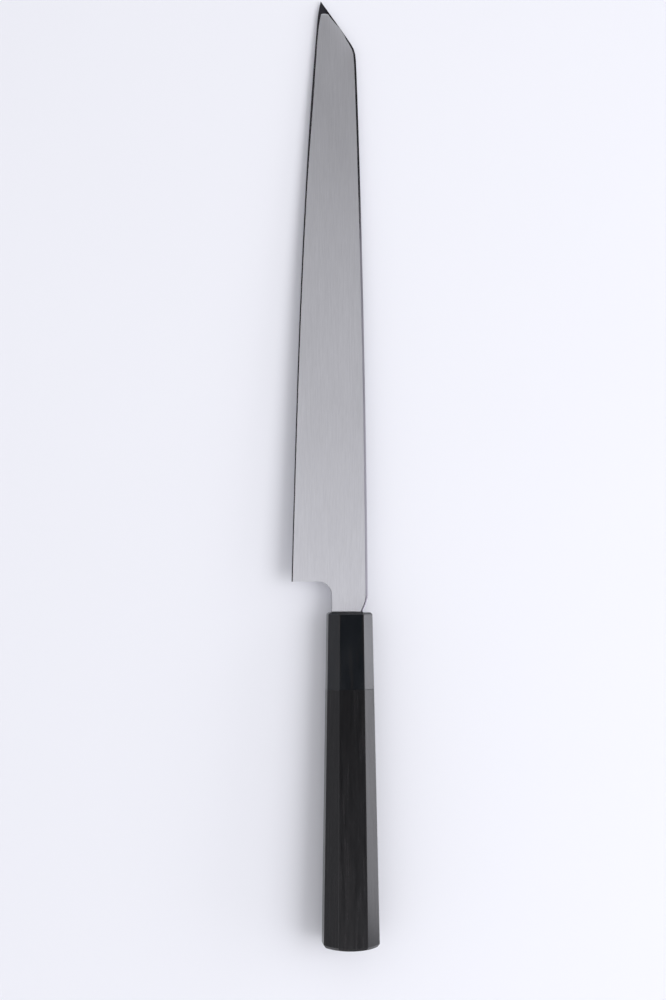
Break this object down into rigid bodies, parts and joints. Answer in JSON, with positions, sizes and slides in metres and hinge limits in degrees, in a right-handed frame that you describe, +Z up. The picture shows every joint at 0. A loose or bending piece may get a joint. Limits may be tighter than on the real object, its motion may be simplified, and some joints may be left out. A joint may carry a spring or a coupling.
{
  "type": "yanagiba knife",
  "caption": "Long single-bevel slicing knife with a sword tip, a hollow-ground laminated blade and an octagonal handle with a horn ferrule.",
  "frame": {"origin": "on the table, under the middle of the knife's footprint, with the knife lying on it", "axes": "+Y along the knife towards the tip, +Z up out of the hollow-ground face, +X from the cutting edge towards the spine; the knife leans 2 degrees nose down, as it rests"},
  "size_m": [0.0379, 0.4169, 0.0239],
  "materials": {
    "soft_iron": "satin, clouded by stones",
    "hard_steel": "satin in the hollow, mirror on the rim",
    "horn": "polished black horn",
    "ebony": "smooth, waxed black wood",
    "dowel_wood": "plain pale wood",
    "seal": "black sealing compound"
  },
  "bodies": {
    "root": {"soft_iron_body": "soft_iron", "hard_steel_face": "hard_steel", "horn_ferrule": "horn", "ebony_handle": "ebony", "tang_dowel": "dowel_wood", "mouth_seal": "seal"}
  },
  "joints": []
}
